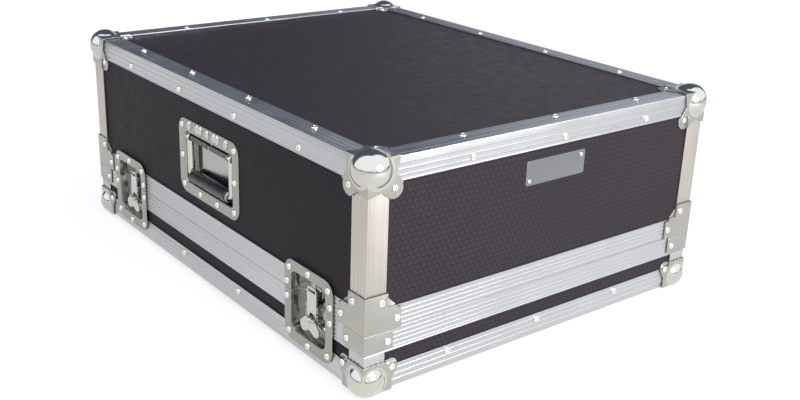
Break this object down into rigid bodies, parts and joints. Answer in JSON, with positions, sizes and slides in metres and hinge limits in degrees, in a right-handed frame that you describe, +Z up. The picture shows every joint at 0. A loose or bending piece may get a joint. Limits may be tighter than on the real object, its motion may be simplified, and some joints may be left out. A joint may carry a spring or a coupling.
{
  "type": "mixer flight case",
  "caption": "Flight case for a mixing console: deep lift-off lid on a shallow base tray, ribbed aluminium edges, ball corners, recessed butterfly catches and recessed spring handles.",
  "frame": {"origin": "centre of the footprint, on the surface that the four lower ball corners stand on", "axes": "+X along the case's length towards the end with the name plate, -Y out of the front with the handle and catches, +Z up"},
  "size_m": [0.739, 0.586, 0.3015],
  "materials": {
    "board": "matt resin-faced plywood with a fine hexagon grip pattern",
    "aluminium": "satin anodised, ribbed",
    "zinc": "bright zinc-plated pressed steel",
    "chrome": "polished plated steel",
    "rubber": "matt black",
    "foam": "matt dark grey foam"
  },
  "bodies": {
    "base": {"base_tray": "board", "base_edge_frame": "aluminium", "base_closing_rim": "aluminium", "base_foam": "foam", "base_brace_front_left": "zinc", "base_brace_front_right": "zinc", "base_brace_back_right": "zinc", "base_brace_back_left": "zinc", "base_ball_corner_front_left": "zinc", "base_ball_corner_front_right": "zinc", "base_ball_corner_back_right": "zinc", "base_ball_corner_back_left": "zinc", "catch_latch_front_left": "zinc", "catch_latch_front_right": "zinc", "catch_latch_back_left": "zinc", "catch_latch_back_right": "zinc"},
    "lid": {"lid_top_board": "board", "lid_front_board": "board", "lid_back_board": "board", "lid_left_board": "board", "lid_right_board": "board", "lid_edge_front": "aluminium", "lid_edge_right": "aluminium", "lid_edge_back": "aluminium", "lid_edge_left": "aluminium", "lid_post_front_left": "aluminium", "lid_post_front_right": "aluminium", "lid_post_back_right": "aluminium", "lid_post_back_left": "aluminium", "lid_closing_rim": "aluminium", "lid_brace_front_left": "zinc", "lid_brace_front_right": "zinc", "lid_brace_back_right": "zinc", "lid_brace_back_left": "zinc", "lid_ball_corner_front_left": "zinc", "lid_ball_corner_front_right": "zinc", "lid_ball_corner_back_right": "zinc", "lid_ball_corner_back_left": "zinc", "catch_keeper_front_left": "zinc", "catch_keeper_front_right": "zinc", "catch_keeper_back_left": "zinc", "catch_keeper_back_right": "zinc", "handle_dish_front": "zinc", "handle_dish_back": "zinc"},
    "key_front_left": {"catch_key_front_left": "chrome"},
    "wing_front_left": {"catch_wing_front_left": "chrome"},
    "hook_front_left": {"catch_hook_front_left": "chrome"},
    "key_front_right": {"catch_key_front_right": "chrome"},
    "wing_front_right": {"catch_wing_front_right": "chrome"},
    "hook_front_right": {"catch_hook_front_right": "chrome"},
    "key_back_left": {"catch_key_back_left": "chrome"},
    "wing_back_left": {"catch_wing_back_left": "chrome"},
    "hook_back_left": {"catch_hook_back_left": "chrome"},
    "key_back_right": {"catch_key_back_right": "chrome"},
    "wing_back_right": {"catch_wing_back_right": "chrome"},
    "hook_back_right": {"catch_hook_back_right": "chrome"},
    "handle_front": {"handle_bail_front": "chrome", "handle_grip_front": "rubber"},
    "handle_back": {"handle_bail_back": "chrome", "handle_grip_back": "rubber"}
  },
  "joints": [
    {"name": "lid_lift", "type": "slide", "parent": "base", "child": "lid", "axis": [0, 0, 1], "range_m": [0, 0.3]},
    {"name": "key_turn_front_left", "type": "hinge", "parent": "base", "child": "key_front_left", "pos_m": [-0.2475, -0.2835, 0.0595], "axis": [0, 1, 0], "range_deg": [0, 180]},
    {"name": "wing_fold_front_left", "type": "hinge", "parent": "key_front_left", "child": "wing_front_left", "pos_m": [-0.2475, -0.2821, 0.0595], "axis": [-1, 0, 0], "range_deg": [0, 90]},
    {"name": "hook_draw_front_left", "type": "slide", "parent": "base", "child": "hook_front_left", "axis": [0, 0.7071, -0.7071], "range_m": [0, 0.00608]},
    {"name": "key_turn_front_right", "type": "hinge", "parent": "base", "child": "key_front_right", "pos_m": [0.2475, -0.2835, 0.0595], "axis": [0, 1, 0], "range_deg": [0, 180]},
    {"name": "wing_fold_front_right", "type": "hinge", "parent": "key_front_right", "child": "wing_front_right", "pos_m": [0.2475, -0.2821, 0.0595], "axis": [-1, 0, 0], "range_deg": [0, 90]},
    {"name": "hook_draw_front_right", "type": "slide", "parent": "base", "child": "hook_front_right", "axis": [0, 0.7071, -0.7071], "range_m": [0, 0.00608]},
    {"name": "key_turn_back_left", "type": "hinge", "parent": "base", "child": "key_back_left", "pos_m": [-0.2475, 0.2835, 0.0595], "axis": [0, -1, 0], "range_deg": [0, 180]},
    {"name": "wing_fold_back_left", "type": "hinge", "parent": "key_back_left", "child": "wing_back_left", "pos_m": [-0.2475, 0.2821, 0.0595], "axis": [1, 0, 0], "range_deg": [0, 90]},
    {"name": "hook_draw_back_left", "type": "slide", "parent": "base", "child": "hook_back_left", "axis": [0, -0.7071, -0.7071], "range_m": [0, 0.00608]},
    {"name": "key_turn_back_right", "type": "hinge", "parent": "base", "child": "key_back_right", "pos_m": [0.2475, 0.2835, 0.0595], "axis": [0, -1, 0], "range_deg": [0, 180]},
    {"name": "wing_fold_back_right", "type": "hinge", "parent": "key_back_right", "child": "wing_back_right", "pos_m": [0.2475, 0.2821, 0.0595], "axis": [1, 0, 0], "range_deg": [0, 90]},
    {"name": "hook_draw_back_right", "type": "slide", "parent": "base", "child": "hook_back_right", "axis": [0, -0.7071, -0.7071], "range_m": [0, 0.00608]},
    {"name": "handle_swing_front", "type": "hinge", "parent": "lid", "child": "handle_front", "pos_m": [0, -0.2785, 0.2085], "axis": [-1, 0, 0], "range_deg": [0, 95], "stiffness_Nm_per_rad": 0.15, "springref_deg": -34.38},
    {"name": "handle_swing_back", "type": "hinge", "parent": "lid", "child": "handle_back", "pos_m": [0, 0.2785, 0.2085], "axis": [1, 0, 0], "range_deg": [0, 95], "stiffness_Nm_per_rad": 0.15, "springref_deg": -34.38}
  ],
  "couplings": [
    {"joint": "hook_draw_front_left", "follows": "key_turn_front_left", "m_per_rad": 0.0019357},
    {"joint": "hook_draw_front_right", "follows": "key_turn_front_right", "m_per_rad": 0.0019357},
    {"joint": "hook_draw_back_left", "follows": "key_turn_back_left", "m_per_rad": 0.0019357},
    {"joint": "hook_draw_back_right", "follows": "key_turn_back_right", "m_per_rad": 0.0019357}
  ]
}
